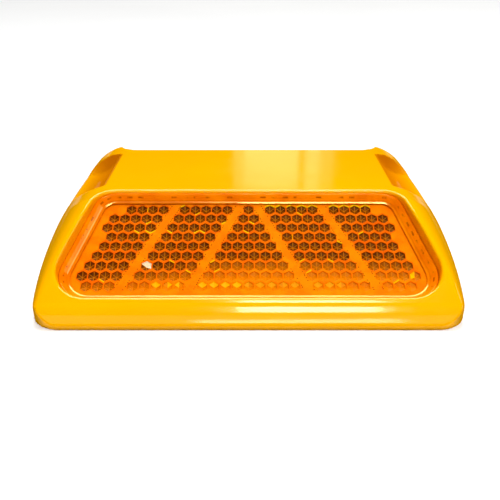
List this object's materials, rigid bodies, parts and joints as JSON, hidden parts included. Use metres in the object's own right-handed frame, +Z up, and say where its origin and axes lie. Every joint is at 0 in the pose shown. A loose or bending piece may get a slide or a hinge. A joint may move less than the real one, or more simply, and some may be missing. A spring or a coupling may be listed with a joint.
{
  "type": "raised pavement marker",
  "caption": "Raised pavement marker with a glossy yellow shell, finger grips in both sides and an amber prismatic lens on each sloped face",
  "frame": {"origin": "centre of the underside, on the road surface", "axes": "+X along the lenses (across the road lane), +Y along the road with the front lens facing -Y, +Z up"},
  "size_m": [0.1032, 0.1016, 0.0191],
  "materials": {
    "shell_plastic": "gloss",
    "lens_plastic": "gloss",
    "backing_plastic": "satin",
    "sealant": "matte",
    "potting": "matte",
    "base_plastic": "matte"
  },
  "bodies": {
    "root": {"shell": "shell_plastic", "potting_core": "potting", "base_plate": "base_plastic", "front_lens": "lens_plastic", "front_backing_plate": "backing_plastic", "front_seal": "sealant", "rear_lens": "lens_plastic", "rear_backing_plate": "backing_plastic", "rear_seal": "sealant"}
  },
  "joints": []
}
